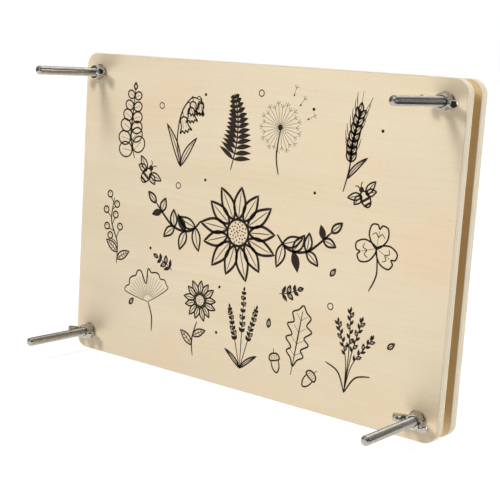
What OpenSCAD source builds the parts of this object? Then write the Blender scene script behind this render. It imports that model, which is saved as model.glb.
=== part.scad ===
// A flower press that stands on its long edge: two plywood boards, a stack of
// card and blotting paper between them, and four screws with washers and wing nuts.
// X runs left to right, Y front to back and Z up. The screws point to the front, -Y.
// The origin is on the floor, in the middle of the press's width and depth.

/* [Boards] */
// Width of each board
board_w = 257; // [200:1:320]
// Height of each board as it stands
board_h = 182; // [140:1:240]
// Thickness of each board
board_t = 6; // [4:0.5:9]
// Radius of the boards' corners
corner_r = 8; // [4:0.5:12]

/* [Screws] */
// Outside diameter of the thread
screw_d = 5; // [4:0.5:6]
// Length under the head
screw_l = 70; // [60:1:90]
// Distance of each screw's axis from the board's edges
screw_inset = 11.5; // [10:0.5:16]
// Bevel at the free end
tip_bevel = 0.8; // [0.2:0.1:1.5]
// Diameter of the round head
head_d = 9.5; // [8:0.5:12]
// Height of the head
head_h = 3.7; // [2.8:0.1:5]
// Radius of the head's rounded shoulder
head_round = 1.8; // [0.5:0.1:2]
// Length of each slot of the cross recess
recess_l = 4.6; // [2:0.1:6]
// Width of each slot of the cross recess
recess_w = 1.1; // [0.5:0.1:2]
// Depth of the cross recess
recess_depth = 1.6; // [0.5:0.1:2]
// Radial play of a screw in the back board, where it can turn
back_play = 0.08; // [0.02:0.01:0.1]
// Radial play of a screw in the front board, which slides on it
front_play = 0.3; // [0.1:0.05:0.5]

/* [Washers and wing nuts] */
// Outside diameter of a washer
washer_d = 10; // [8:0.5:14]
// Thickness of a washer
washer_t = 1; // [0.5:0.1:2]
// Radial play of a screw in a washer
washer_play = 0.15; // [0.05:0.05:0.4]
// Diameter of a nut's hub at the washer
hub_base_d = 9; // [8:0.5:12]
// Diameter of the hub at its free end
hub_top_d = 7.4; // [7:0.1:9]
// Height of the hub
hub_h = 4.8; // [3:0.1:7]
// Radial play of the thread in the nut
thread_play = 0.05; // [0.02:0.01:0.1]
// Distance of a wing tip's centre from the screw's axis
wing_reach = 8; // [7:0.5:12]
// Height of a wing tip's centre over the washer
wing_rise = 7.6; // [6:0.1:10]
// Radius of the rounded wing tip
wing_tip_r = 2.5; // [1.5:0.1:3.5]
// Thickness of a wing
wing_t = 2.4; // [1.5:0.1:3]
// Height of a wing's lower root over the washer
wing_root_low = 0.9; // [0.5:0.1:1.5]
// Turn of the top left wing nut from level, clockwise
turn_tl = -5; // [-90:1:90]
// Turn of the top right wing nut
turn_tr = 5; // [-90:1:90]
// Turn of the bottom left wing nut
turn_bl = 2; // [-90:1:90]
// Turn of the bottom right wing nut
turn_br = 8; // [-90:1:90]

/* [Stack] */
// Thickness of a corrugated card
card_t = 1.6; // [1:0.1:4]
// Thickness of a blotting sheet
blotter_t = 0.4; // [0.2:0.1:1]
// Distance of the sheets from the boards' edges
sheet_margin = 8.5; // [6:0.5:15]
// Room between a screw and the cut corner of a sheet
sheet_clear = 3.2; // [1:0.1:6]
// Loose space between neighbouring sheets
sheet_gap = 0.2; // [0.1:0.05:0.5]

/* [Hidden] */

// How finely the round shapes are drawn
$fn = 64;

// Flats in the quarter turn of a board's corner; with many more, the flats next to the
// bottom edge would lie so close to the floor that the press rocks on them
corner_flats = 6;

// How far a cut runs past the surface that it opens
overrun = 1;

// The sheets from the back board to the front board
sheet_ts = [card_t, blotter_t, blotter_t, card_t, blotter_t, blotter_t, card_t];
function sum_to(list, n) = n == 0 ? 0 : list[n - 1] + sum_to(list, n - 1);
sheet_count = len(sheet_ts);
press_gap = sum_to(sheet_ts, sheet_count) + (sheet_count + 1) * sheet_gap;

// Depths of the boards' faces; the screws reach as far to the front as their heads to the back
back_outer_y = (screw_l - head_h) / 2;
back_inner_y = back_outer_y - board_t;
front_inner_y = back_inner_y - press_gap;
front_outer_y = front_inner_y - board_t;

// Where the screws stand, as left or right and bottom or top
screw_x = board_w / 2 - screw_inset;
screw_low_z = screw_inset;
screw_high_z = board_h - screw_inset;
TL = [-screw_x, screw_high_z];
TR = [screw_x, screw_high_z];
BL = [-screw_x, screw_low_z];
BR = [screw_x, screw_low_z];

// The sheets' outline and the leg of their cut corners, measured from the screws
sheet_w = board_w - 2 * sheet_margin;
sheet_h = board_h - 2 * sheet_margin;
corner_cut = 2 * (screw_inset - sheet_margin) + sqrt(2) * (screw_d / 2 + sheet_clear);

// Where the lines of a wing meet its round tip, as angles round the tip
wing_outer_angle = -45;
wing_inner_angle = 135;
// Radius at which a wing starts inside the hub
wing_start_r = (screw_d / 2 + hub_top_d / 2) / 2;

// Plate standing upright, from its back face at depth y towards the front
module upright(y, t) {
    translate([0, y, 0])
        rotate([90, 0, 0])
            linear_extrude(t)
                children();
}

// Pieces on a screw: the flat at depth y becomes the floor and the front becomes up
module on_screw(place, y) {
    translate([place[0], y, place[1]])
        rotate([90, 0, 0])
            children();
}

// The outline of a board, with its round corners drawn as short flats
module rounded_board() {
    polygon([
        for (corner = [0 : 3])
            let (
                side = corner == 0 || corner == 3 ? 1 : -1,
                centre_z = corner < 2 ? board_h - corner_r : corner_r,
                centre = [side * (board_w / 2 - corner_r), centre_z]
            )
                for (flat = [0 : corner_flats])
                    let (a = 90 * (corner + flat / corner_flats))
                        centre + corner_r * [cos(a), sin(a)]
    ]);
}

module board(y, play) {
    upright(y, board_t)
        difference() {
            rounded_board();
            for (place = [TL, TR, BL, BR]) {
                translate(place)
                    circle(d = screw_d + 2 * play);
            }
        }
}

module back_board() {
    color([0.87, 0.78, 0.64])
        board(back_outer_y, back_play);
}

module front_board() {
    color([0.90, 0.82, 0.70])
        board(front_inner_y, front_play);
}

// The shank and the round head in one, turned about the axis, with a cross recess
module screw(place) {
    shank_r = screw_d / 2;
    head_r = head_d / 2;
    shoulder = [
        for (a = [0 : 15 : 90])
            [head_r - head_round + head_round * cos(a), -head_h + head_round - head_round * sin(a)]
    ];
    outline = concat(
        [[0, screw_l], [shank_r - tip_bevel, screw_l], [shank_r, screw_l - tip_bevel]],
        [[shank_r, 0], [head_r, 0]],
        shoulder,
        [[0, -head_h]]
    );
    color([0.72, 0.72, 0.72])
        on_screw(place, back_outer_y)
            difference() {
                rotate_extrude()
                    polygon(outline);
                for (turn = [0, 90]) {
                    rotate([0, 0, turn])
                        translate([-recess_l / 2, -recess_w / 2, -head_h - overrun])
                            cube([recess_l, recess_w, recess_depth + overrun]);
                }
            }
}

module washer(place) {
    color([0.80, 0.79, 0.76])
        on_screw(place, front_outer_y)
            linear_extrude(washer_t)
                difference() {
                    circle(d = washer_d);
                    circle(d = screw_d + 2 * washer_play);
                }
}

// One wing seen from the side: a web that rises from the hub to a round tip
module wing_side() {
    tip = [wing_reach, wing_rise];
    translate(tip)
        circle(wing_tip_r);
    polygon([
        [wing_start_r, wing_root_low],
        [hub_base_d / 2, wing_root_low],
        tip + wing_tip_r * [cos(wing_outer_angle), sin(wing_outer_angle)],
        tip + wing_tip_r * [cos(wing_inner_angle), sin(wing_inner_angle)],
        [wing_start_r, hub_h]
    ]);
}

module wing_nut(place, turn) {
    color([0.78, 0.77, 0.74])
        on_screw(place, front_outer_y - washer_t)
            rotate([0, 0, -turn])
                difference() {
                    union() {
                        cylinder(h = hub_h, d1 = hub_base_d, d2 = hub_top_d);
                        for (side = [0, 180]) {
                            rotate([90, 0, side])
                                translate([0, 0, -wing_t / 2])
                                    linear_extrude(wing_t)
                                        wing_side();
                        }
                    }
                    translate([0, 0, -overrun])
                        cylinder(h = wing_rise + wing_tip_r + 2 * overrun, d = screw_d + 2 * thread_play);
                }
}

module sheet_outline() {
    half_w = sheet_w / 2;
    low = sheet_margin;
    high = board_h - sheet_margin;
    polygon([
        [-half_w + corner_cut, low], [half_w - corner_cut, low],
        [half_w, low + corner_cut], [half_w, high - corner_cut],
        [half_w - corner_cut, high], [-half_w + corner_cut, high],
        [-half_w, high - corner_cut], [-half_w, low + corner_cut]
    ]);
}

// The sheet of a given number, counted from 0 at the back board
module sheet(n) {
    upright(back_inner_y - sum_to(sheet_ts, n) - (n + 1) * sheet_gap, sheet_ts[n])
        sheet_outline();
}

module card(n) {
    color([0.70, 0.54, 0.36])
        sheet(n);
}

module blotter(n) {
    color([0.95, 0.94, 0.90])
        sheet(n);
}

back_board();
front_board();
screw(TL);  // screw_tl
screw(TR);  // screw_tr
screw(BL);  // screw_bl
screw(BR);  // screw_br
washer(TL);  // washer_tl
washer(TR);  // washer_tr
washer(BL);  // washer_bl
washer(BR);  // washer_br
wing_nut(TL, turn_tl);  // wing_nut_tl
wing_nut(TR, turn_tr);  // wing_nut_tr
wing_nut(BL, turn_bl);  // wing_nut_bl
wing_nut(BR, turn_br);  // wing_nut_br
card(0);  // back_card
blotter(1);  // blotter_1
blotter(2);  // blotter_2
card(3);  // middle_card
blotter(4);  // blotter_3
blotter(5);  // blotter_4
card(6);  // front_card
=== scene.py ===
# A flower press that stands on its long edge: two plywood boards, a stack of card and
# blotting paper between them, and four screws with washers and wing nuts.
# Everything is in metres, and a size times MM is written in millimetres.

import cmath
import math
import random

import bmesh
import bpy
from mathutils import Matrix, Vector


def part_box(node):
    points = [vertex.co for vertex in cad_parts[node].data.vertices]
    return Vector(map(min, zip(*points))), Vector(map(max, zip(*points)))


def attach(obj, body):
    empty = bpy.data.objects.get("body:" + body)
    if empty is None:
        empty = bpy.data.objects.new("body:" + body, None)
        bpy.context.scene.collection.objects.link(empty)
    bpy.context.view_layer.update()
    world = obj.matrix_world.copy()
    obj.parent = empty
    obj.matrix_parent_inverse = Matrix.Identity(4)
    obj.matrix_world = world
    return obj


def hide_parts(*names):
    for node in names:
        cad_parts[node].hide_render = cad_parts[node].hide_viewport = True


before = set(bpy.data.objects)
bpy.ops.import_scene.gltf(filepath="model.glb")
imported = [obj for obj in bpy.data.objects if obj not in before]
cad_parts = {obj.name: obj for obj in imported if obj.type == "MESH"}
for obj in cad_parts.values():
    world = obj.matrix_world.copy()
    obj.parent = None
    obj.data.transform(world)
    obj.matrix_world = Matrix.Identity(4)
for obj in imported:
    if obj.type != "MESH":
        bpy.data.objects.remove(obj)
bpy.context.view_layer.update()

MM = 0.001
PLACES = ("tl", "tr", "bl", "br")
CARDS = ("back_card", "middle_card", "front_card")
BLOTTERS = ("blotter_1", "blotter_2", "blotter_3", "blotter_4")

# Boards
CORNER_R = 8 * MM
CORNER_STEPS = 14
BOARD_EASE = 0.45 * MM
EASE_STEPS = 3
HOLE_STEPS = 48
PLIES = 5
OUTER, EDGE, INNER = range(3)
BACK_HOLE_R = 2.58 * MM
FRONT_HOLE_R = 2.8 * MM

# Screws
SCREW_R = 2.5 * MM
PITCH = 0.8 * MM
THREAD_DEPTH = 0.46 * MM
THREAD_RUNOUT = 2 * MM
TIP_BEVEL = 0.8 * MM
TURN_STEPS = 32
# One turn of the thread's profile: share of the pitch, and share of the thread's depth
THREAD_PROFILE_SHARES = ((0, 0), (0.14, 0), (0.45, 1), (0.69, 1))
HEAD_ROUND = 1.8 * MM
HEAD_EASE = 0.2 * MM
RECESS_L = 4.6 * MM
RECESS_W = 1.1 * MM
RECESS_DEPTH = 1.6 * MM
RECESS_FLOOR_SHARE = 0.6
# The cross's inner corners and the ends of its arms, in half widths
RECESS_CORNER = 1.55
RECESS_END = 0.8
SCREW_MERGE = 0.001 * MM

# Washers and wing nuts; the nuts are formed in millimetres
WASHER_HOLE_R = 2.65 * MM
WASHER_ROUND = 0.28 * MM
WASHER_BURR = 0.08 * MM
LATHE_STEPS = 64
HUB_BASE_R = 4.5
HUB_TOP_R = 4.15
HUB_H = 4.8
HUB_EASE = 0.3
# Points of a wing are complex: the distance from the axis and the height
WING_TIP = 7.65 + 7.15j
WING_LEAN = cmath.rect(1, math.radians(40))
WING_TIP_STEP_DEG = 15
WING_TIP_HALF_L = 2.2
WING_TIP_HALF_W = 2.8
WING_TIP_POWER = 0.7
WING_T = 3.9
WING_OVAL_POWER = 0.7
WING_OVAL_DEG = 76
WING_LEVELS = 6
WING_END_ROUND = 0.5
WING_START_R = 3.1
WING_ROOT_LOW = 0.9
WING_ROOT_DROP = 0.3
# Where the lower edge leaves the hub's base, and the upper edge its rim
WING_FOOT = 0.2
WING_HEEL = 1.7 + 1.1j
WING_THROAT = 0.7 + 1.2j
BORE_R = 2.56
BORE_BEVEL = 0.45
BORE_STEPS = 48
NUT_VOXEL = 0.2
NUT_SMOOTHING = 5
NUT_SEAT_SNAP = 0.09
NUT_MERGE = 0.01
NUT_TURNS = {"tl": -5, "tr": 5, "bl": 2, "br": 8}

# Stack
SCREW_INSET = 11.5 * MM
SHEET_MARGIN = 8.5 * MM
SHEET_CLEAR = 3.2 * MM
CORNER_CUT = 2 * (SCREW_INSET - SHEET_MARGIN) + math.sqrt(2) * (SCREW_R + SHEET_CLEAR)
LINER_T = 0.22 * MM
FLUTE_T = 0.2 * MM
FLUTE_PITCH = 3.3 * MM
FLUTE_STEPS = 12
FLUTE_SET_BACK = 0.5 * MM
PAPER_EASE = 0.08 * MM
PAPER_WANDER = 0.12 * MM
PAPER_STEP = 4 * MM
SECOND_LINER_SEED = 20

# Print, with its strokes in millimetres
INK_PROUD = 0.02 * MM
INK_SUNK = 0.02 * MM
BOLD = 1.55
HEAVY = 0.8 * BOLD
MEDIUM = 0.92
FINE = 0.6
HAIR = 0.8 * FINE
STROKE_END_SHARE = 0.45
CURVE_STEPS = 7
LEAF_STEPS = 12
LEAF_BELLY = 0.85
VEIN_DEG = 50
DOT_STEPS = 10
RING_STEPS = 18
FILLER_SEED = 7

# Camera, measured from the printed face
CAMERA_X = 0.38866
CAMERA_FROM_FACE = 0.50232
CAMERA_Z = 0.18666
CAMERA_TURN_DEG = (80.4743, -3.6415, 38.039)
LENS_MM = 83.81
SENSOR_MM = 36

# Studio. A lobe of the sky: direction, inner and outer radius in degrees, brightness
FLOOR_R = 14
SKY_LOBES = (
    ((-0.4, -0.6, -0.72), 14, 33, 3.1),
    ((-0.17, -0.76, 0.6), 12, 18, 1.6),
    ((0.86, 0.47, 0.1), 8, 19, 8),
    ((0.85, -0.5, -0.2), 44, 62, 0.04),
    ((0.35, 0.93, 0), 26, 38, 0.05),
    ((0.1, 0.6, 0.8), 19, 27, 2.2),
)

back_low, back_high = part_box("back_board")
board_w = back_high.x - back_low.x
board_h = back_high.z - back_low.z
board_t = back_high.y - back_low.y
face_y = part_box("front_board")[0].y


def linear(r, g, b):
    """A colour as it is read off a screen, from 0 to 255, in Blender's linear units."""
    return tuple(((c / 255 + 0.055) / 1.055) ** 2.4 for c in (r, g, b)) + (1,)


# Materials


class Finish:
    """A node tree being built. An input given as a socket is linked, and any other is set."""

    def __init__(self, name, world=False):
        kind = bpy.data.worlds if world else bpy.data.materials
        self.owner = kind.new(name)
        self.owner.use_nodes = True
        self.tree = self.owner.node_tree
        self.tree.nodes.clear()

    def add(self, kind, inputs=None, **settings):
        node = self.tree.nodes.new(kind)
        for name, value in settings.items():
            setattr(node, name, value)
        for name, value in (inputs or {}).items():
            if isinstance(value, bpy.types.NodeSocket):
                self.tree.links.new(value, node.inputs[name])
            else:
                node.inputs[name].default_value = value
        return node

    def place(self):
        return self.add("ShaderNodeTexCoord").outputs["Object"]

    def stretch(self, vector, x, y, z):
        inputs = {0: vector, 1: (x, y, z)}
        return self.add("ShaderNodeVectorMath", inputs, operation="MULTIPLY").outputs[0]

    def shift_z(self, vector, z):
        offset = self.add("ShaderNodeCombineXYZ", {"Z": z}).outputs[0]
        return self.add("ShaderNodeVectorMath", {0: vector, 1: offset}, operation="ADD").outputs[0]

    def parts(self, vector):
        return self.add("ShaderNodeSeparateXYZ", {0: vector}).outputs

    def noise(self, vector, scale=1.0, detail=3.0, rough=0.5):
        inputs = {"Vector": vector, "Scale": scale, "Detail": detail, "Roughness": rough}
        return self.add("ShaderNodeTexNoise", inputs).outputs["Fac"]

    def maths(self, operation, a, b=0.0, c=0.0):
        return self.add("ShaderNodeMath", {0: a, 1: b, 2: c}, operation=operation).outputs[0]

    def span(self, value, low, high, to_low=0.0, to_high=1.0):
        """The value carried over from one range to another, smoothly."""
        inputs = {"Value": value, "From Min": low, "From Max": high}
        inputs.update({"To Min": to_low, "To Max": to_high})
        node = self.add("ShaderNodeMapRange", inputs, interpolation_type="SMOOTHSTEP")
        return node.outputs["Result"]

    def mix(self, share, a, b, blend="MIX"):
        inputs = {0: share, 6: a, 7: b}
        return self.add("ShaderNodeMix", inputs, data_type="RGBA", blend_type=blend).outputs[2]

    def bump(self, height, distance, strength, normal=None):
        inputs = {"Height": height, "Distance": distance, "Strength": strength}
        if normal:
            inputs["Normal"] = normal
        return self.add("ShaderNodeBump", inputs).outputs["Normal"]

    def surface(self, inputs):
        shader = self.add("ShaderNodeBsdfPrincipled", inputs)
        self.add("ShaderNodeOutputMaterial", {"Surface": shader.outputs[0]})
        return self.owner


def veneer(name, light, warm, blush_colour, line_colour, pore_colour):
    """Sanded veneer with its grain along the board's width, and painted shade that darkens it
    towards the left.
    """
    f = Finish(name)
    at = f.place()
    sway = f.noise(f.stretch(at, 5, 60, 14), detail=2.0)
    bent = f.shift_z(at, f.maths("MULTIPLY", sway, 0.03))
    figure = f.noise(f.stretch(bent, 5, 60, 34), detail=4.0, rough=0.55)
    lines = f.noise(f.stretch(bent, 7, 60, 640), detail=5.0, rough=0.7)
    blush = f.noise(f.stretch(at, 13, 60, 22), detail=2.0)
    pores = f.noise(f.stretch(bent, 260, 60, 5200), detail=1.0)
    wood = f.mix(f.span(figure, 0.34, 0.66), light, warm)
    wood = f.mix(f.span(blush, 0.5, 0.7, 0, 0.65), wood, blush_colour)
    wood = f.mix(f.span(lines, 0.42, 0.72, 0, 0.28), wood, line_colour)
    wood = f.mix(f.span(pores, 0.6, 0.74, 0, 0.2), wood, pore_colour)
    # Painted shade: the colour is multiplied darker towards the board's left side, standing in for
    # less light falling there
    left = f.span(f.parts(at)["X"], board_w / 4, -board_w / 2)
    wood = f.mix(left, wood, (0.93, 0.93, 0.94, 1), "MULTIPLY")
    height = f.maths("ADD", f.maths("MULTIPLY", lines, 0.6), pores)
    return f.surface({
        "Base Color": wood,
        "Roughness": f.span(lines, 0.2, 0.8, 0.5, 0.66),
        "Specular IOR Level": 0.35,
        "Normal": f.bump(height, 0.03 * MM, 0.5),
    })


def outer_veneer():
    """The pale grade of the printed face and of the back."""
    return veneer(
        "outer_veneer", linear(230, 212, 179), linear(235, 219, 189), linear(236, 209, 177),
        linear(220, 198, 160), linear(193, 165, 123))


def inner_veneer():
    """The yellower grade that faces the stack."""
    return veneer(
        "inner_veneer", linear(236, 211, 163), linear(240, 217, 172), linear(232, 204, 157),
        linear(222, 194, 140), linear(196, 163, 104))


def plywood_edge():
    """The cut edge: plies with their grain along and across by turns, and glue lines."""
    f = Finish("plywood_edge")
    at = f.place()
    depth = f.maths("MULTIPLY_ADD", f.parts(at)["Y"], PLIES / board_t, PLIES / 2)
    across = f.maths("MODULO", f.maths("FLOOR", depth), 2.0)
    in_ply = f.maths("ABSOLUTE", f.maths("SUBTRACT", f.maths("FRACT", depth), 0.5))
    along_grain = f.noise(f.stretch(at, 40, 3600, 40), detail=3.0)
    end_grain = f.noise(f.stretch(at, 1300, 2400, 1300), detail=3.0)
    patches = f.noise(at, scale=60, detail=2.0)
    long_ply = f.mix(f.span(along_grain, 0.35, 0.7), linear(242, 231, 208), linear(234, 219, 192))
    cross_ply = f.mix(f.span(end_grain, 0.3, 0.7), linear(238, 228, 206), linear(222, 206, 178))
    wood = f.mix(across, long_ply, cross_ply)
    wood = f.mix(f.span(patches, 0.4, 0.7, 0, 0.35), wood, linear(226, 210, 182))
    wood = f.mix(f.span(in_ply, 0.44, 0.5, 0, 0.55), wood, linear(176, 150, 112))
    grain = f.mix(across, along_grain, end_grain)
    return f.surface({
        "Base Color": wood,
        "Roughness": f.span(end_grain, 0.2, 0.8, 0.62, 0.8),
        "Specular IOR Level": 0.3,
        "Normal": f.bump(grain, 0.06 * MM, 0.6),
    })


def ink(name, dark, pale):
    """Matt printing ink, a little uneven where the wood's pores show through."""
    f = Finish(name)
    at = f.place()
    speck = f.noise(f.stretch(at, 900, 900, 3800), detail=3.0)
    worn = f.noise(at, scale=260, detail=2.0)
    colour = f.mix(f.span(speck, 0.55, 0.78, 0, 0.6), dark, pale)
    colour = f.mix(f.span(worn, 0.55, 0.8, 0, 0.35), colour, pale)
    return f.surface({
        "Base Color": colour,
        "Roughness": f.span(speck, 0.2, 0.8, 0.7, 0.85),
        "Specular IOR Level": 0.2,
        "Normal": f.bump(speck, 0.005 * MM, 0.4),
    })


def plated(name, bright, dull, polish, haze):
    """Nickel plate with smudges and fine scratches along the axis."""
    f = Finish(name)
    at = f.place()
    smudge = f.noise(at, scale=420, detail=4.0, rough=0.6)
    scratches = f.noise(f.stretch(at, 9000, 700, 9000), detail=2.0)
    return f.surface({
        "Base Color": f.mix(f.span(smudge, 0.35, 0.7), bright, dull),
        "Metallic": 1.0,
        "Roughness": f.span(smudge, 0.3, 0.75, polish, haze),
        "Normal": f.bump(scratches, 0.004 * MM, 0.35),
    })


def forged_nickel():
    """Nickel over a forged skin, which is a little wavy."""
    f = Finish("forged_nickel")
    at = f.place()
    smudge = f.noise(at, scale=520, detail=4.0, rough=0.6)
    skin = f.noise(at, scale=1100, detail=2.0)
    grit = f.noise(at, scale=9000, detail=2.0)
    colour = f.mix(f.span(smudge, 0.35, 0.7), linear(202, 198, 191), linear(184, 179, 171))
    waves = f.bump(skin, 0.03 * MM, 0.45)
    return f.surface({
        "Base Color": colour,
        "Metallic": 1.0,
        "Roughness": f.span(smudge, 0.3, 0.75, 0.06, 0.14),
        "Normal": f.bump(grit, 0.004 * MM, 0.3, waves),
    })


def kraft():
    """Brown kraft paper with long fibres."""
    f = Finish("kraft_paper")
    at = f.place()
    fibres = f.noise(f.stretch(at, 2600, 2600, 500), detail=4.0, rough=0.65)
    clouds = f.noise(at, scale=70, detail=3.0)
    flecks = f.noise(f.stretch(at, 700, 700, 1500), detail=1.0)
    colour = f.mix(f.span(clouds, 0.35, 0.65), linear(186, 146, 98), linear(172, 131, 86))
    colour = f.mix(f.span(fibres, 0.5, 0.75, 0, 0.5), colour, linear(204, 168, 122))
    colour = f.mix(f.span(flecks, 0.68, 0.76, 0, 0.6), colour, linear(122, 88, 54))
    return f.surface({
        "Base Color": colour,
        "Roughness": f.span(fibres, 0.2, 0.8, 0.78, 0.92),
        "Specular IOR Level": 0.2,
        "Normal": f.bump(fibres, 0.03 * MM, 0.5),
    })


def blotting():
    """Off-white blotting paper, soft and felted."""
    f = Finish("blotting_paper")
    at = f.place()
    felt = f.noise(at, scale=3200, detail=5.0, rough=0.7)
    clouds = f.noise(at, scale=90, detail=3.0)
    colour = f.mix(f.span(clouds, 0.35, 0.65), linear(243, 240, 230), linear(235, 231, 219))
    colour = f.mix(f.span(felt, 0.55, 0.75, 0, 0.35), colour, linear(222, 216, 201))
    return f.surface({
        "Base Color": colour,
        "Roughness": f.span(felt, 0.2, 0.8, 0.85, 0.95),
        "Specular IOR Level": 0.15,
        "Normal": f.bump(felt, 0.04 * MM, 0.6),
    })


def pale_floor():
    """White and lit from within, as a light table is, so that shadows on it stay faint."""
    f = Finish("pale_floor")
    cloud = f.noise(f.place(), scale=1.5, detail=2.0)
    white = f.mix(cloud, (0.22, 0.22, 0.22, 1), (0.24, 0.24, 0.24, 1))
    return f.surface({
        "Base Color": white,
        "Roughness": f.span(cloud, 0.2, 0.8, 0.75, 0.85),
        "Specular IOR Level": 0.1,
        "Emission Color": (1, 1, 1, 1),
        "Emission Strength": 0.86,
    })


# Mesh building


def ring_of(bm, points, y):
    """A ring of vertices at depth y, from complex numbers that hold x and z."""
    return [bm.verts.new((p.real, y, p.imag)) for p in points]


def join_rings(bm, a, b, material=0, smooth=True):
    """Quads between two rings of as many vertices."""
    for i in range(len(a)):
        j = (i + 1) % len(a)
        face = bm.faces.new((a[i], a[j], b[j], b[i]))
        face.material_index = material
        face.smooth = smooth


def join_all(bm, rings, closed=False, **look):
    """Quads between each ring and the next, and from the last to the first if closed."""
    for a, b in zip(rings, rings[1:] + (rings[:1] if closed else [])):
        join_rings(bm, a, b, **look)


def cap(bm, rings, material=0):
    """A flat face within the first ring and around the others, with a sharp border."""
    edges = []
    for ring in rings:
        for i, vert in enumerate(ring):
            after = ring[(i + 1) % len(ring)]
            edge = bm.edges.get((vert, after)) or bm.edges.new((vert, after))
            edge.smooth = False
            edges.append(edge)
    made = bmesh.ops.triangle_fill(bm, edges=edges, use_beauty=True)["geom"]
    for face in made:
        if isinstance(face, bmesh.types.BMFace):
            face.material_index = material
            face.smooth = False


def circle(radius, steps, centre=0j):
    """Points round a circle, as complex numbers."""
    return [centre + cmath.rect(radius, -2 * math.pi * a / steps) for a in range(steps)]


def rounded_rectangle(width, height, radius):
    """A board's outline, as complex numbers."""
    points = []
    for corner, (side_x, side_z) in enumerate(((1, 1), (-1, 1), (-1, -1), (1, -1))):
        centre = complex(side_x * (width / 2 - radius), side_z * (height / 2 - radius))
        for k in range(CORNER_STEPS + 1):
            angle = math.pi / 2 * (corner + k / CORNER_STEPS)
            points.append(centre + cmath.rect(radius, angle))
    return points


def octagon(width, height, cut):
    """A sheet's outline: a rectangle with its corners cut off."""
    w, h = width / 2, height / 2
    return [
        complex(w, h - cut), complex(w - cut, h), complex(cut - w, h), complex(-w, h - cut),
        complex(-w, cut - h), complex(cut - w, -h), complex(w - cut, -h), complex(w, cut - h),
    ]


def lathe(bm, profile, steps, closed=False):
    """Turns (radius, y) points about the Y axis. A radius of zero is a single point."""
    rings = []
    for radius, y in profile:
        if radius == 0:
            rings.append([bm.verts.new((0, y, 0))])
        else:
            rings.append(ring_of(bm, circle(radius, steps), y))
    for a, b in zip(rings, rings[1:] + (rings[:1] if closed else [])):
        if len(a) == 1 or len(b) == 1:
            point, ring = (a[0], b) if len(a) == 1 else (b[0], a)
            for i in range(steps):
                face = bm.faces.new((point, ring[i], ring[(i + 1) % steps]))
                face.smooth = True
        else:
            join_rings(bm, a, b)
    return rings


def arc_profile(centre_r, centre_y, radius, start_deg, end_deg, steps):
    """Points of an arc in (radius, y), with the angle measured from outwards towards +Y."""
    points = []
    for k in range(steps + 1):
        a = math.radians(start_deg + (end_deg - start_deg) * k / steps)
        points.append((centre_r + radius * math.cos(a), centre_y + radius * math.sin(a)))
    return points


def mesh_from(bm, name, sharp_deg=None):
    """The finished mesh. Edges that turn more than the angle are drawn sharp."""
    bmesh.ops.recalc_face_normals(bm, faces=bm.faces)
    mesh = bpy.data.meshes.new(name)
    bm.to_mesh(mesh)
    bm.free()
    if sharp_deg:
        mesh.set_sharp_from_angle(angle=math.radians(sharp_deg))
    return mesh


def new_object(name, data):
    """An object in the scene."""
    obj = bpy.data.objects.new(name, data)
    bpy.context.scene.collection.objects.link(obj)
    return obj


def piece(name, mesh, place, materials, body, node=None):
    """An object at its place, which rides on a body and can stand for a node of the frame."""
    obj = new_object(name, mesh)
    obj.location = place
    for material in materials:
        mesh.materials.append(material)
    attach(obj, body)
    if node:
        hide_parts(node)
    return obj


def middle(node):
    """The middle of a node's box."""
    low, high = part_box(node)
    return (low + high) / 2


# Boards


def board_mesh(name, hole_r, back_material, front_material):
    """A board about its own centre: two veneers, ply edges, eased corners and four holes."""
    bm = bmesh.new()
    levels = []
    for k in range(EASE_STEPS + 1):
        a = math.pi / 2 * k / EASE_STEPS
        y = board_t / 2 - BOARD_EASE * (1 - math.cos(a))
        levels.append((y, BOARD_EASE * (1 - math.sin(a))))
    levels += [(-y, inset) for y, inset in reversed(levels)]
    centre = Vector((0, 0, board_h / 2))
    holes = []
    for place in PLACES:
        at = middle("screw_" + place) - centre
        holes.append(complex(at.x, at.z))
    rims = [[] for _ in range(len(holes) + 1)]
    for y, inset in levels:
        outline = rounded_rectangle(
            board_w - 2 * inset, board_h - 2 * inset, CORNER_R - inset)
        rims[0].append(ring_of(bm, outline, y))
        for rim, hole in zip(rims[1:], holes):
            rim.append(ring_of(bm, circle(hole_r + inset / 2, HOLE_STEPS, hole), y))
    for rim in rims:
        join_all(bm, rim, material=EDGE)
    cap(bm, [rim[0] for rim in rims], material=back_material)
    cap(bm, [rim[-1] for rim in rims], material=front_material)
    return mesh_from(bm, name)


def make_boards(materials):
    for side, node, hole_r, faces, slot in (
        ("back", "back_board", BACK_HOLE_R, (OUTER, INNER), "plywood"),
        ("front", "front_board", FRONT_HOLE_R, (INNER, OUTER), "printed_plywood"),
    ):
        name = "plywood_" + side
        mesh = board_mesh(name, hole_r, *faces)
        piece(name, mesh, middle(node), materials, side, node)


# Screws


def thread_row_radius(s, length, depth_share):
    """Radius of the thread at the distance s from the tip."""
    fade = min(max((length - s) / THREAD_RUNOUT, 0), 1)
    radius = SCREW_R - THREAD_DEPTH * depth_share * fade
    return min(radius, SCREW_R - TIP_BEVEL + s)


def threaded_shank(bm, length):
    """Rows of vertices that follow the helix of a right-hand thread. Its tip is at -Y."""
    rows_a_turn = len(THREAD_PROFILE_SHARES)
    rows = (math.ceil(length / PITCH) + 2) * rows_a_turn
    verts = []
    for row in range(rows):
        share, depth_share = THREAD_PROFILE_SHARES[row % rows_a_turn]
        line = []
        for a in range(TURN_STEPS):
            s = (row // rows_a_turn + share + a / TURN_STEPS - 1) * PITCH
            s = min(max(s, 0), length)
            radius = thread_row_radius(s, length, depth_share)
            p = cmath.rect(radius, -2 * math.pi * a / TURN_STEPS)
            line.append(bm.verts.new((p.real, s - length, p.imag)))
        verts.append(line)
    for row in range(rows - rows_a_turn - 1):
        here = verts[row] + [verts[row + rows_a_turn][0]]
        above = verts[row + 1] + [verts[row + 1 + rows_a_turn][0]]
        for a in range(TURN_STEPS):
            face = bm.faces.new((here[a], here[a + 1], above[a + 1], above[a]))
            face.smooth = True


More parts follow.
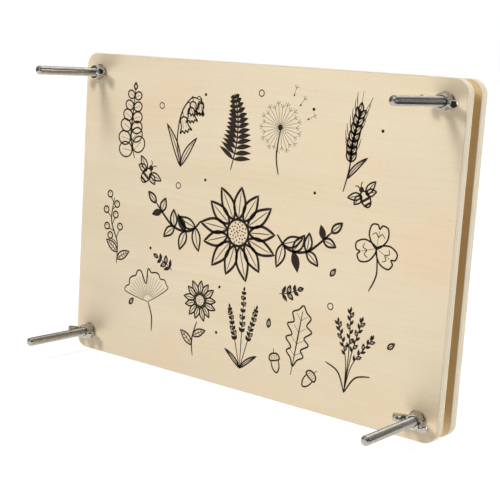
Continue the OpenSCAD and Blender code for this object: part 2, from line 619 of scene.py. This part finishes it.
def recess_outline(scale):
    """A cross with its inner corners taken off."""
    half_l, half_w = RECESS_L / 2 * scale, RECESS_W / 2 * scale
    inner, end = half_w * RECESS_CORNER, half_w * RECESS_END
    arm = [
        complex(inner, half_w), complex(half_l, end), complex(half_l, -end),
        complex(inner, -half_w),
    ]
    return [p * (-1j) ** quarter for quarter in range(4) for p in arm]


def screw_mesh(length, head_r, head_h):
    """The shank below y = 0 and the pan head above it, in one closed mesh."""
    bm = bmesh.new()
    threaded_shank(bm, length)
    flat_r = head_r - HEAD_ROUND
    profile = [(SCREW_R, 0), (head_r - HEAD_EASE, 0), (head_r, HEAD_EASE)]
    profile += arc_profile(flat_r, head_h - HEAD_ROUND, HEAD_ROUND, 0, 90, steps=8)
    rings = lathe(bm, profile, TURN_STEPS)
    rim = ring_of(bm, recess_outline(1), head_h)
    floor = ring_of(bm, recess_outline(RECESS_FLOOR_SHARE), head_h - RECESS_DEPTH)
    join_rings(bm, rim, floor, smooth=False)
    cap(bm, [rings[-1], rim])
    cap(bm, [floor])
    bmesh.ops.remove_doubles(bm, verts=bm.verts, dist=SCREW_MERGE)
    tip = [v for v in bm.verts if v.is_boundary]
    tip.sort(key=lambda v: math.atan2(v.co.z, v.co.x))
    cap(bm, [tip])
    return mesh_from(bm, "threaded_screw", sharp_deg=50)


def make_screws(steel):
    low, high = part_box("screw_tl")
    length = back_high.y - low.y
    mesh = screw_mesh(length, (high.x - low.x) / 2, high.y - back_high.y)
    for place in PLACES:
        node = "screw_" + place
        at = middle(node)
        at.y = back_high.y
        piece("threaded_" + node, mesh.copy(), at, (steel,), node, node)


# Washers and wing nuts


def washer_mesh(radius, thickness):
    """A stamped ring about its own centre, rounder on the side where the punch went in."""
    bm = bmesh.new()
    half = thickness / 2
    profile = []
    for r, y, ease, start_deg, steps in (
        (radius - WASHER_BURR, half - WASHER_BURR, WASHER_BURR, 0, 2),
        (WASHER_HOLE_R + WASHER_BURR, half - WASHER_BURR, WASHER_BURR, 90, 2),
        (WASHER_HOLE_R + WASHER_ROUND, WASHER_ROUND - half, WASHER_ROUND, 180, 5),
        (radius - WASHER_ROUND, WASHER_ROUND - half, WASHER_ROUND, 270, 5),
    ):
        profile += arc_profile(r, y, ease, start_deg, start_deg + 90, steps)
    lathe(bm, profile, LATHE_STEPS, closed=True)
    return mesh_from(bm, "washer", sharp_deg=40)


def make_washers(steel):
    low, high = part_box("washer_tl")
    mesh = washer_mesh((high.x - low.x) / 2, high.y - low.y)
    for place in PLACES:
        node = "washer_" + place
        piece("plated_" + node, mesh.copy(), middle(node), (steel,), node, node)


def wing_outline():
    """One wing seen from the side."""
    foot = complex(HUB_BASE_R, WING_ROOT_LOW)
    rim = complex(HUB_TOP_R, HUB_H)
    points = [complex(WING_START_R, WING_ROOT_LOW), foot + WING_FOOT, foot + WING_HEEL]
    for angle_deg in range(-90, 91, WING_TIP_STEP_DEG):
        a = math.radians(angle_deg)
        ahead = WING_TIP_HALF_L * abs(math.cos(a)) ** WING_TIP_POWER
        aside = math.copysign(WING_TIP_HALF_W * abs(math.sin(a)) ** WING_TIP_POWER, a)
        points.append(WING_TIP + WING_LEAN * complex(ahead, aside))
    return points + [rim + WING_THROAT, complex(WING_START_R, HUB_H - WING_ROOT_DROP)]


def add_wing(bm, side):
    """A wing with an oval section: outlines that grow slimmer towards its two faces."""
    from_tip = [(point - WING_TIP) / WING_LEAN for point in wing_outline()]
    last = math.radians(WING_OVAL_DEG)
    rings = []
    for level in range(-WING_LEVELS, WING_LEVELS + 1):
        a = last * level / WING_LEVELS
        slim = math.cos(a) ** WING_OVAL_POWER
        z = WING_T / 2 * math.sin(a) / math.sin(last)
        ring = []
        for p in from_tip:
            ahead = p.real - WING_END_ROUND * (1 - slim)
            point = WING_TIP + complex(ahead, p.imag * slim) * WING_LEAN
            ring.append(bm.verts.new((side * point.real, -point.imag, z)))
        rings.append(ring)
    join_all(bm, rings)
    bm.faces.new(rings[0])
    bm.faces.new(rings[-1])


def modified(mesh, kind, **settings):
    """The mesh that one modifier makes of the given mesh."""
    obj = new_object("work", mesh)
    modifier = obj.modifiers.new("work", kind)
    for name, value in settings.items():
        setattr(modifier, name, value)
    graph = bpy.context.evaluated_depsgraph_get()
    made = bpy.data.meshes.new_from_object(obj.evaluated_get(graph))
    bpy.data.objects.remove(obj)
    return made


def nut_blank():
    """Hub and wings grown together by the forging, with the base at y = 0."""
    bm = bmesh.new()
    lathe(bm, [
        (0, 0), (HUB_BASE_R - HUB_EASE, 0), (HUB_BASE_R, -HUB_EASE),
        (HUB_TOP_R, HUB_EASE - HUB_H), (HUB_TOP_R - HUB_EASE, -HUB_H), (0, -HUB_H),
    ], LATHE_STEPS)
    for side in (-1, 1):
        add_wing(bm, side)
    rough = modified(
        mesh_from(bm, "nut_blank"), "REMESH", mode="VOXEL", voxel_size=NUT_VOXEL)
    bm = bmesh.new()
    bm.from_mesh(rough)
    for _ in range(NUT_SMOOTHING):
        bmesh.ops.smooth_vert(
            bm, verts=bm.verts, factor=0.5, use_axis_x=True, use_axis_y=True, use_axis_z=True)
    for vert in bm.verts:
        if vert.co.y > -NUT_SEAT_SNAP:
            vert.co.y = 0
    return mesh_from(bm, "nut_forged")


def bored(blank):
    """The blank with a bore, bevelled at the base and at the hub's top."""
    bm = bmesh.new()
    wide = BORE_R + BORE_BEVEL
    beyond = -2 * HUB_H - 2
    lathe(bm, [
        (0, 1), (wide, 1), (wide, 0), (BORE_R, -BORE_BEVEL), (BORE_R, BORE_BEVEL - HUB_H),
        (wide, -HUB_H), (wide, beyond), (0, beyond),
    ], BORE_STEPS)
    cutter = new_object("cutter", mesh_from(bm, "cutter"))
    nut = modified(blank, "BOOLEAN", operation="DIFFERENCE", solver="EXACT", object=cutter)
    bpy.data.objects.remove(cutter)
    return nut


def wing_nut_mesh():
    """A forged nut in metres."""
    bm = bmesh.new()
    bm.from_mesh(bored(nut_blank()))
    bmesh.ops.dissolve_degenerate(bm, dist=NUT_MERGE, edges=bm.edges)
    bmesh.ops.triangulate(bm, faces=[face for face in bm.faces if len(face.verts) > 4])
    bmesh.ops.scale(bm, vec=(MM, MM, MM), verts=bm.verts)
    for face in bm.faces:
        face.smooth = True
    return mesh_from(bm, "wing_nut", sharp_deg=38)


def make_wing_nuts(nickel):
    mesh = wing_nut_mesh()
    for place in PLACES:
        node = "wing_nut_" + place
        seat_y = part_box(node)[1].y
        screw = middle("screw_" + place)
        at = (screw.x, seat_y, screw.z)
        body = "nut_" + place
        nut = piece("forged_" + node, mesh.copy(), at, (nickel,), body, node)
        bpy.context.view_layer.update()
        nut.rotation_euler.y = math.radians(NUT_TURNS[place])


# Stack


def sheet_ring(width, height, inset, seed):
    """A sheet's outline, cut by hand: it wanders a little inwards between its corners."""
    wander = random.Random(seed)
    corners = octagon(width, height, CORNER_CUT)
    points = []
    for i, corner in enumerate(corners):
        side = corners[(i + 1) % len(corners)] - corner
        steps = max(2, round(abs(side) / PAPER_STEP))
        inwards = 1j * side / abs(side)
        for k in range(steps):
            off = 0 if k == 0 else wander.uniform(0, PAPER_WANDER)
            points.append(corner + side * k / steps + inwards * off)
    shrink = 1 - 2 * inset / height
    return [p * shrink for p in points]


def flat_sheet(bm, width, height, y_low, y_high, seed):
    """A thin sheet with softened borders between two depths."""
    rings = []
    for y, inset in (
        (y_low, PAPER_EASE), (y_low + PAPER_EASE, 0),
        (y_high - PAPER_EASE, 0), (y_high, PAPER_EASE),
    ):
        rings.append(ring_of(bm, sheet_ring(width, height, inset, seed), y))
    join_all(bm, rings)
    cap(bm, [rings[0]])
    cap(bm, [rings[-1]])


def fluted_sheet(bm, width, height, depth):
    """The wavy paper inside a card: flutes run up and down, and follow the cut corners."""
    count = round(width / FLUTE_PITCH * FLUTE_STEPS)
    swing = (depth - FLUTE_T) / 2
    rings = []
    for k in range(count + 1):
        x = width * (k / count - 0.5)
        y = swing * math.sin(2 * math.pi * x / FLUTE_PITCH)
        top = min(height / 2, height / 2 - CORNER_CUT + (width / 2 - abs(x)))
        rings.append([
            bm.verts.new((x, y + side * FLUTE_T / 2, z))
            for side, z in ((1, -top), (1, top), (-1, top), (-1, -top))
        ])
    bm.faces.new(rings[0])
    join_all(bm, rings)
    bm.faces.new(rings[-1])


def make_stack(card_paper, blotter_paper):
    for number, node in enumerate(CARDS + BLOTTERS):
        low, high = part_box(node)
        width, height = high.x - low.x, high.z - low.z
        half = (high.y - low.y) / 2
        bm = bmesh.new()
        if node in CARDS:
            flat_sheet(bm, width, height, -half, LINER_T - half, number)
            flat_sheet(
                bm, width, height, half - LINER_T, half, number + SECOND_LINER_SEED)
            fluted_sheet(
                bm, width - FLUTE_SET_BACK, height - FLUTE_SET_BACK, 2 * (half - LINER_T))
            name, paper, slot = "corrugated_" + node, card_paper, "card"
        else:
            flat_sheet(bm, width, height, -half, half, number)
            name, paper, slot = "felted_" + node, blotter_paper, "blotting_paper"
        mesh = mesh_from(bm, name, sharp_deg=35)
        piece(name, mesh, middle(node), (paper,), node, node)


# Print: plants in ink, drawn with complex numbers whose real part is x and imaginary part z


def flowing(points, steps=CURVE_STEPS, closed=False):
    """A smooth curve through the points."""
    n = len(points)
    curve = []
    for i in range(n if closed else n - 1):
        near = range(i - 1, i + 3)
        if closed:
            a, b, c, d = (points[j % n] for j in near)
        else:
            a, b, c, d = (points[min(max(j, 0), n - 1)] for j in near)
        for k in range(steps):
            t = k / steps
            curve.append(0.5 * (
                2 * b + (c - a) * t + (2 * a - 5 * b + 4 * c - d) * t ** 2
                + (3 * b - a - 3 * c + d) * t ** 3))
    if not closed:
        curve.append(points[-1])
    return curve


def mirrored(half):
    """A closed outline from its one half, which begins and ends on the middle line."""
    return half + [complex(-p.real, p.imag) for p in half[-2:0:-1]]


def leaf_half_width(width, share):
    """Half the width of a leaf at a share of its length."""
    return width / 2 * math.sin(math.pi * share ** LEAF_BELLY)


def leaf_shape(length, width, lean):
    """The outline of a leaf that grows from 0 towards +1j, and its middle line."""
    left, right, rib = [], [], []
    for k in range(LEAF_STEPS + 1):
        t = k / LEAF_STEPS
        on_rib = complex(lean * length * t * t, length * t)
        out = complex(1, -2 * lean * t)
        step = out / abs(out) * leaf_half_width(width, t)
        rib.append(on_rib)
        left.append(on_rib - step)
        right.append(on_rib + step)
    return left + right[-2:0:-1], rib


def along(curve, share):
    """The point at a share of a curve, and its heading in degrees from +1j."""
    place = share * (len(curve) - 1)
    i = min(int(place), len(curve) - 2)
    step = curve[i + 1] - curve[i]
    return curve[i] + step * (place - i), math.degrees(cmath.phase(step / 1j))


class Pen:
    """Draws into a list of shapes, in a frame of its own: an origin, a turn and a size."""

    def __init__(self, shapes, origin=0j, factor=1 + 0j):
        self.shapes, self.origin, self.factor = shapes, origin, factor

    def at(self, point, turn=0.0, size=1.0):
        factor = self.factor * cmath.rect(size, math.radians(turn))
        return Pen(self.shapes, self.origin + self.factor * point, factor)

    def put(self, points):
        return [self.origin + self.factor * p for p in points]

    def line(self, points, width=MEDIUM, closed=False, grey=False):
        self.shapes.append((self.put(points), (width, closed, grey)))

    def curve(self, points, width=MEDIUM, steps=CURVE_STEPS, closed=False, grey=False):
        """Draws a smooth line through the points, and gives back the curve."""
        smooth = flowing(points, steps, closed)
        self.line(smooth, width, closed, grey)
        return smooth

    def fill(self, points):
        self.shapes.append((self.put(points), None))

    def dot(self, point, radius):
        self.fill([point + p for p in circle(radius, DOT_STEPS)])

    def ring(self, point, radius, width=FINE):
        self.line([point + p for p in circle(radius, RING_STEPS)], width, closed=True)

    def leaf(self, length, width, lean=0.0, filled=False, veins=0, weight=MEDIUM):
        """A leaf that grows from the origin, in outline or filled."""
        outline, rib = leaf_shape(length, width, lean)
        if filled:
            self.fill(outline)
            return
        self.line(outline, weight, closed=True)
        self.line(rib[:-2], FINE, grey=True)
        for k in range(veins):
            share = (k + 1) / (veins + 1.6)
            start, heading = along(rib, share)
            reach = leaf_half_width(width, share)
            for side in (-1, 1):
                tip = start + 1j * cmath.rect(reach, math.radians(heading + side * VEIN_DEG))
                self.line([start, (start + tip) / 2, tip], HAIR, grey=True)

    def leaf_pair(self, point, heading, spread, length, width, lean, filled=False):
        """Two leaves that part from a heading, one to each side."""
        for side in (-1, 1):
            self.at(point, heading + side * spread).leaf(length, width, side * lean, filled)


def draw_fern(pen):
    stem = pen.curve([0, 2 + 14j, 1 + 28j, -3 + 40j])
    for k in range(13):
        share = 0.16 + 0.82 * k / 13
        point, heading = along(stem, share)
        length = 11.5 * (1 - share) ** 0.75 + 1.5
        pen.leaf_pair(point, heading, 62, length, 2.7, -0.16, filled=True)


def draw_daisy(pen):
    head = 1 + 29j
    for k in range(13):
        petal = pen.at(head, 360 * k / 13 + 5)
        petal.at(3.2j).leaf(6.8 + 0.6 * (k % 2), 3.1, 0.06 * (-1) ** k)
    pen.ring(head, 3.0, MEDIUM)
    for k in range(16):
        pen.dot(head + cmath.rect(0.62 * math.sqrt(k), 2.4 * k), 0.26)
    stem = pen.curve([0, -1.5 + 8j, 0.5 + 18j])
    pen.at(along(stem, 0.35)[0], 48).leaf(10, 4, -0.12, veins=3)
    pen.at(along(stem, 0.6)[0], -52).leaf(9, 3.6, 0.12, veins=3)


def draw_wheat(pen):
    stem = pen.curve([0, 1 + 12j, 24j, 1 + 38j])
    for k in range(7):
        point, heading = along(stem, 0.42 + 0.085 * k)
        for side in (-1, 1):
            grain = pen.at(point, heading + side * 26)
            grain.leaf(5.6, 2.7, side * -0.05)
            grain.line([5.4j, 9j + 0.3 * side, 12.5j + 1.2 * side], FINE, grey=True)
    top = pen.at(stem[-1], 2)
    top.leaf(5.6, 2.6)
    top.line([5.4j, 11j], FINE, grey=True)
    pen.at(along(stem, 0.2)[0], -24).leaf(15, 2.4, 0.22)


def draw_lavender(pen):
    for lean, height, turn in ((0, 40, 0), (-4, 31, 13), (4, 33, -12)):
        sprig = pen.at(0, turn)
        stem = sprig.curve([0, 0.2 * lean + 0.45j * height, lean * 0.4 + 1j * height], FINE)
        for k in range(7):
            point, heading = along(stem, 0.52 + 0.07 * k)
            for side in (-1, 1):
                bud = sprig.at(point, heading + side * 38)
                bud.leaf(3.1 - 0.16 * k, 1.7, filled=(k + side) % 3 != 0, weight=FINE)
        sprig.at(stem[-1]).leaf(2.6, 1.4, filled=True)
    pen.leaf_pair(0, 0, 40, 13, 2.0, -0.2)


def draw_clover(pen):
    stem = pen.curve([0, 2 + 9j, -1 + 20j])
    for turn in (-112, 0, 112):
        lobe = pen.at(stem[-1], turn + 4)
        half = [0, -4.6 + 4.5j, -4.4 + 9.6j, -1.4 + 10.6j, 8.9j]
        lobe.curve(mirrored(half), closed=True)
        lobe.line([0.6j, 8.0j], FINE, grey=True)
        lobe.curve([-3.4 + 5.4j, -1.6 + 6.8j, 5.2j, 1.6 + 6.8j, 3.4 + 5.4j], FINE, grey=True)


def draw_ginkgo(pen):
    pen.curve([0, 1.5 + 8j, 16j])
    fan = pen.at(16j)
    rim = []
    for k in range(17):
        angle = math.radians(158 - 136 * k / 16)
        reach = 17 + 0.9 * math.sin(2.3 * k) - (7 if k == 8 else 0)
        rim.append(cmath.rect(reach, angle))
    fan.line([0] + flowing([-5 + 1.6j] + rim + [5 + 1.6j], 4) + [0])
    for k in range(15):
        angle = math.radians(152 - 124 * k / 14)
        reach = 9 if k == 7 else 14.5
        fan.line([cmath.rect(3.5, angle), cmath.rect(reach, angle)], HAIR, grey=True)


def draw_oak(pen):
    """A lobed leaf between two acorns."""
    half = [
        0j, 2.2 + 4j, 5.6 + 7j, 3.2 + 10j, 7.4 + 14j, 4 + 17j, 8 + 21.5j, 4.2 + 24j,
        6 + 28.5j, 2.6 + 31j, 34j,
    ]
    pen.curve(mirrored(half), steps=5, closed=True)
    pen.line([-5j, 16j, 31j])
    for k in range(4):
        for side in (-1, 1):
            root = (6 + 6.5 * k) * 1j
            pen.line([root, root + side * (4.6 - 0.4 * k) + 3.4j], FINE, grey=True)
    for side, turn in ((-1, 24), (1, -30)):
        acorn = pen.at(-4j, turn).at(side * 9.5 + 4j)
        acorn.curve([-2.6 + 4j, -2.2 - 0.5j, -3.2j, 2.2 - 0.5j, 2.6 + 4j])
        acorn.curve([-3.3 + 4j, -2.6 + 6.6j, 7.4j, 2.6 + 6.6j, 3.3 + 4j, 3.4j], closed=True)
        for k in range(4):
            acorn.line([-2.2 + 1.3 * k + 4.2j, -1.4 + 1.1 * k + 6.6j], FINE, grey=True)
        acorn.line([7.4j, 10j + 0.6])


def draw_dandelion(pen):
    pen.curve([0, -1.6 + 10j, 0.6 + 24j])
    head = 0.6 + 25.5j
    pen.dot(head, 1.7)
    for k in range(26):
        angle = 2 * math.pi * k / 26
        tip = head + cmath.rect(10.5 + 1.6 * (k % 2), angle)
        pen.line([head + cmath.rect(1.8, angle), tip], HAIR, grey=k % 2 == 1)
        for side in (-0.75, 0, 0.75):
            pen.line([tip, tip + cmath.rect(2.2, angle + side)], HAIR)
    for point, turn in ((13 + 37j, -40), (18 + 30j, -65), (9 + 42j, -20)):
        seed = pen.at(point, turn)
        seed.leaf(1.8, 0.9, filled=True)
        seed.line([1.6j, 4.6j], HAIR)
        for side in (-50, 0, 50):
            seed.line([4.6j, 4.6j + 1j * cmath.rect(2, math.radians(side))], HAIR)


def draw_bluebell(pen):
    stem = pen.curve([0, -2 + 14j, 1 + 28j, 8 + 36j, 14 + 35j])
    for k in range(5):
        point, _ = along(stem, 0.5 + 0.125 * k)
        reach = 1 if k % 2 else 0.35
        hang = point + complex(3.2 * reach, -1.8)
        pen.curve([point, point + complex(2.2 * reach, 0.9), hang], FINE)
        bell = pen.at(hang, 14 - 9 * k, 1 - 0.07 * k)
        half = [0, -2.2 - 1.2j, -2.5 - 5j, -4.2 - 8j, -2.2 - 7.1j, -1.2 - 8.6j, -7.3j]
        bell.curve(mirrored(half), steps=5, closed=True)
        for side in (-1, 1):
            bell.line([side * 0.9 - 1.6j, side * 1.1 - 6.2j], HAIR, grey=True)
    pen.at(0, 10).leaf(24, 3.6, -0.22)
    pen.at(0, -26).leaf(19, 3.4, 0.2)


def draw_eucalyptus(pen):
    stem = pen.curve([0, -2 + 13j, 1 + 27j, 4 + 40j])
    angles = [2 * math.pi * i / 20 for i in range(20)]
    for k in range(6):
        point, heading = along(stem, 0.14 + 0.145 * k)
        size = 5.2 - 0.5 * k
        outline = [
            complex(size * 0.86 * math.sin(a), size * (1.15 - math.cos(a))) for a in angles]
        for side in (-1, 1):
            coin = pen.at(point, heading + side * 66)
            coin.line(outline, closed=True)
            coin.line([0, size * 1.6j], FINE, grey=True)
    pen.at(stem[-1], -8).leaf(4.2, 2.6)


def draw_grass(pen):
    for lean, height in ((-9, 33), (-3, 40), (4, 37), (11, 30)):
        stem = pen.curve([0, lean * 0.2 + 0.5j * height, lean + 1j * height], FINE)
        for k in range(9):
            point, heading = along(stem, 0.56 + 0.05 * k)
            seed = pen.at(point, heading + (-1) ** k * 34)
            seed.leaf(3.3, 1.5, filled=k % 3 != 1, weight=FINE)
        pen.at(stem[-1], -lean).leaf(3, 1.4, filled=True)
    for side in (-1, 1):
        pen.curve([0, side * 5 + 9j, side * 13 + 12j])


def draw_berries(pen):
    stem = pen.curve([0, 2 + 12j, -1 + 25j, 3 + 38j])
    for k in range(7):
        point, heading = along(stem, 0.3 + 0.1 * k)
        turn = math.radians(heading + (-1) ** k * 52)
        tip = point + 1j * cmath.rect(6.5 - 0.4 * k, turn)
        pen.curve([point, (point + tip) / 2 + 0.8j, tip], FINE)
        pen.ring(tip + 1.7j, 1.9, MEDIUM)
        pen.dot(tip + 2.3j, 0.4)
    for side, share in ((-1, 0.1), (1, 0.2)):
        point, heading = along(stem, share)
        pen.at(point, heading + side * 50).leaf(11, 4.4, side * -0.1, veins=4)


def draw_sprig(pen):
    """A small filler: three pairs of leaves and a bud."""
    stem = pen.curve([0, 0.8 + 6j, 0.2 + 13j], FINE)
    for k in range(3):
        point, heading = along(stem, 0.2 + 0.28 * k)
        pen.leaf_pair(point, heading, 50, 5.4 - 0.7 * k, 2.3, -0.1, filled=k != 1)
    pen.at(stem[-1]).leaf(3.6, 1.9)


def draw_bee(pen):
    """A bumblebee seen from above, flying towards +1j."""
    angles = [math.pi * k / 12 for k in range(24)]
    pen.line([complex(3.1 * math.sin(a), 4.9 * math.cos(a)) for a in angles], closed=True)
    for low, high in ((-3.9, -2.5), (-1.1, 0.5)):
        corners = ((-1, low), (-1, high), (1, high), (1, low))
        pen.fill([complex(side * 3.0 * math.sqrt(1 - (z / 4.9) ** 2), z) for side, z in corners])
    pen.dot(6j, 1.7)
    for side in (-1, 1):
        for turn, length in ((62, 9.6), (98, 7)):
            pen.at(side * 1.6 + 2.4j, -side * turn).leaf(length, 4.2, side * 0.12)
        pen.curve([side * 0.7 + 7.3j, side * 1.3 + 8.8j, side * 2.9 + 9.6j], FINE)


def draw_centre(pen):
    """The bold piece in the middle: an open camomile between two leafy sprays."""
    for k in range(13):
        petal = pen.at(0, 360 * k / 13)
        petal.at(7.8j).leaf(17.5 + 1.8 * (k % 2), 8.0, 0.05 * (-1) ** k, weight=BOLD)
    pen.ring(0, 7.5, BOLD)
    for k in range(34):
        pen.dot(cmath.rect(1.1 * math.sqrt(k), 2.4 * k), 0.5)
    for side in (-1, 1):
        stem = pen.curve([side * 27 + 3j, side * 35 - 4j, side * 48 - 3j, side * 62 + 9j], BOLD)
        for k in range(4):
            point, heading = along(stem, 0.2 + 0.22 * k)
            length, width = 13.5 - 1.7 * k, 5.8 - 0.5 * k
            for way in (-1, 1):
                spray = pen.at(point, heading + way * 54)
                filled = (k + way) % 4 == 0
                spray.leaf(length, width, way * -0.14, filled, weight=HEAVY)
        point, heading = along(stem, 1)
        pen.at(point, heading).leaf(8.5, 4, weight=HEAVY)


def draw_print():
    """The layout in millimetres from the face's centre: two staggered rows and a bold middle."""
    shapes = []
    page = Pen(shapes)
    for draw, x, z, turn, size in (
        (draw_eucalyptus, -86, 31, 8, 1.0),
        (draw_bluebell, -50, 30, 4, 1.08),
        (draw_fern, -13, 32, -4, 1.05),
        (draw_dandelion, 20, 33, 3, 1.0),
        (draw_wheat, 62, 29, -8, 1.08),
        (draw_ginkgo, -66, -70, 12, 1.1),
        (draw_daisy, -33, -78, -4, 1.15),
        (draw_lavender, 2, -78, 0, 1.1),
        (draw_oak, 38, -69, -8, 1.02),
        (draw_grass, 72, -76, -5, 1.08),
        (draw_berries, -97, -34, 10, 1.05),
        (draw_clover, 82, -20, -10, 1.15),
        (draw_bee, -76, 22, -38, 1.0),
        (draw_bee, 76, 27, 32, 0.9),
        (draw_sprig, -52, -31, 64, 1.0),
        (draw_sprig, 26, -31, -70, 1.0),
    ):
        draw(page.at(complex(x, z), turn, size))
    draw_centre(page.at(-5 - 2j))
    chance = random.Random(FILLER_SEED)
    for x, z in (
        (-68, 64), (-32, 72), (5, 74), (42, 70), (84, 62), (-32, 26), (44, 26), (-70, -20),
        (-14, -36), (60, -32), (-84, -58), (96, -46), (60, -14), (20, -52), (-50, 20),
        (-17, -60),
    ):
        kind = chance.randrange(3)
        point = complex(x + chance.uniform(-2, 2), z + chance.uniform(-2, 2))
        if kind == 0:
            page.dot(point, 0.9)
        elif kind == 1:
            page.ring(point, 1.7)
        else:
            page.at(point, chance.uniform(-60, 60)).leaf(5, 2.4)
    return shapes


def add_stroke(bm, points, width, closed, grey):
    """A thin closed ribbon along the points, narrower towards open ends."""
    n = len(points)
    rows = []
    for i, p in enumerate(points):
        before = points[i - 1] if i or closed else p
        after = points[(i + 1) % n] if i < n - 1 or closed else p
        heading = after - before
        if abs(heading) < 1e-9:
            heading = 1
        share = 1
        if not closed:
            swell = math.sqrt(math.sin(math.pi * (i / (n - 1))))
            share = STROKE_END_SHARE + (1 - STROKE_END_SHARE) * swell
        out = 1j * heading / abs(heading) * width * share / 2
        left, right = p - out, p + out
        corners = ((left, INK_SUNK), (left, -INK_PROUD), (right, -INK_PROUD), (right, INK_SUNK))
        rows.append([bm.verts.new((q.real * MM, y, q.imag * MM)) for q, y in corners])
    join_all(bm, rows, closed, material=int(grey), smooth=False)
    if not closed:
        for row in (rows[0], rows[-1]):
            bm.faces.new(row).material_index = int(grey)


def add_blot(bm, points):
    """A thin closed plate of dark ink within the points."""
    low = ring_of(bm, [p * MM for p in points], INK_SUNK)
    high = ring_of(bm, [p * MM for p in points], -INK_PROUD)
    join_rings(bm, low, high, smooth=False)
    for ring in (low, high):
        bm.faces.new(ring)


def make_print(inks):
    """All in one piece, in dark and grey ink, with its origin at the face's centre."""
    bm = bmesh.new()
    for points, stroke in draw_print():
        if stroke:
            add_stroke(bm, points, *stroke)
        else:
            add_blot(bm, points)
    name = "botanical_print"
    at = (0, face_y, board_h / 2)
    piece(name, mesh_from(bm, name), at, inks, "front")


# Studio


def make_floor():
    """A pale disc that reaches far past the view."""
    bm = bmesh.new()
    bmesh.ops.create_circle(bm, cap_ends=True, segments=96, radius=FLOOR_R)
    floor = new_object("studio_floor", mesh_from(bm, "studio_floor"))
    floor.data.materials.append(pale_floor())
    # What lies below the horizon in the sky lights the press instead
    floor.visible_glossy = False
    floor.visible_diffuse = False
    floor.visible_shadow = False


def make_glow(name, corners, strength):
    """A glowing sheet round the press, which only the metal mirrors."""
    f = Finish(name)
    cloud = f.noise(f.place(), scale=3.0, detail=2.0)
    white = f.mix(cloud, (0.88, 0.87, 0.85, 1), (0.98, 0.97, 0.95, 1))
    lit = f.surface({
        "Base Color": (0, 0, 0, 1),
        "Roughness": 1.0,
        "Emission Color": white,
        "Emission Strength": strength,
    })
    bm = bmesh.new()
    bm.faces.new([bm.verts.new(p) for p in corners])
    glow = new_object(name, mesh_from(bm, name))
    glow.data.materials.append(lit)
    glow.visible_camera = False
    glow.visible_diffuse = False
    glow.visible_shadow = False


def upright_panel(left, right, low, high, y):
    return (left, y, low), (right, y, low), (right, y, high), (left, y, high)


def table_panel(left, right, front, back):
    """Corners of a flat sheet just below the table's top."""
    z = -MM
    return (left, front, z), (right, front, z), (right, back, z), (left, back, z)


def make_sky():
    """A bright sky overhead, with dark and light sides that the metal mirrors as bands."""
    f = Finish("studio_sky", world=True)
    towards = f.add("ShaderNodeTexCoord").outputs["Generated"]
    height = f.parts(towards)["Z"]
    sky = f.mix(f.span(height, 0, 1), (0.1, 0.1, 0.1, 1), (0.5, 0.5, 0.5, 1))
    sky = f.mix(f.span(height, -0.3, -0.12), (0.95, 0.95, 0.95, 1), sky)
    for direction, inner_deg, outer_deg, brightness in SKY_LOBES:
        unit = Vector(direction).normalized()
        cosine = f.add("ShaderNodeVectorMath", {0: towards, 1: unit}, operation="DOT_PRODUCT")
        outer, inner = math.cos(math.radians(outer_deg)), math.cos(math.radians(inner_deg))
        share = f.span(cosine.outputs["Value"], outer, inner)
        sky = f.mix(share, sky, (brightness, brightness, brightness, 1))
    seen = f.add("ShaderNodeLightPath").outputs["Is Camera Ray"]
    sky = f.mix(seen, sky, (1, 1, 1, 1))
    shader = f.add("ShaderNodeBackground", {"Color": sky, "Strength": 1.0})
    f.add("ShaderNodeOutputWorld", {"Surface": shader.outputs[0]})
    bpy.context.scene.world = f.owner


def make_lamp(name, place, target, size, power):
    """A round lamp that the metal doesn't mirror."""
    data = bpy.data.lights.new(name, "AREA")
    data.shape = "DISK"
    data.size = size
    data.energy = power
    lamp = new_object(name, data)
    lamp.location = place
    lamp.rotation_euler = (Vector(target) - lamp.location).to_track_quat("-Z", "Y").to_euler()
    lamp.visible_glossy = False


def make_camera():
    """The camera of the photograph, fitted to the press's edges and screws."""
    data = bpy.data.cameras.new("camera")
    data.lens = LENS_MM
    data.sensor_width = SENSOR_MM
    camera = new_object("camera", data)
    camera.location = (CAMERA_X, face_y - CAMERA_FROM_FACE, CAMERA_Z)
    camera.rotation_euler = [math.radians(a) for a in CAMERA_TURN_DEG]
    bpy.context.scene.camera = camera


make_camera()
make_floor()
make_glow("light_table", table_panel(-0.4, 0.13, -0.5, 0), 1.05)
make_glow("table_corner", table_panel(0.13, 0.22, -0.065, 0.02), 1.05)
make_glow("left_panel", upright_panel(-0.5, -0.15, -0.1, 0.35, -0.8), 0.8)
make_glow("right_panel", upright_panel(0.15, 0.75, -0.1, 0.45, -0.8), 0.4)
make_sky()
make_lamp("key_light", (-0.38, -1.35, 1.28), (0, 0, 0.09), size=0.5, power=17)
make_lamp("edge_light", (0.82, 0.38, 0.17), (0.13, 0, 0.09), size=0.4, power=2.6)
bpy.context.scene.view_settings.view_transform = "Standard"

make_boards((outer_veneer(), plywood_edge(), inner_veneer()))
make_screws(plated("screw_steel", linear(194, 189, 181), linear(176, 171, 162), 0.12, 0.22))
make_washers(plated("washer_steel", linear(204, 200, 192), linear(184, 179, 170), 0.1, 0.22))
make_wing_nuts(forged_nickel())
make_stack(kraft(), blotting())
make_print((
    ink("dark_ink", linear(46, 36, 29), linear(78, 66, 54)),
    ink("grey_ink", linear(84, 74, 64), linear(122, 110, 96)),
))

bpy.context.view_layer.update()
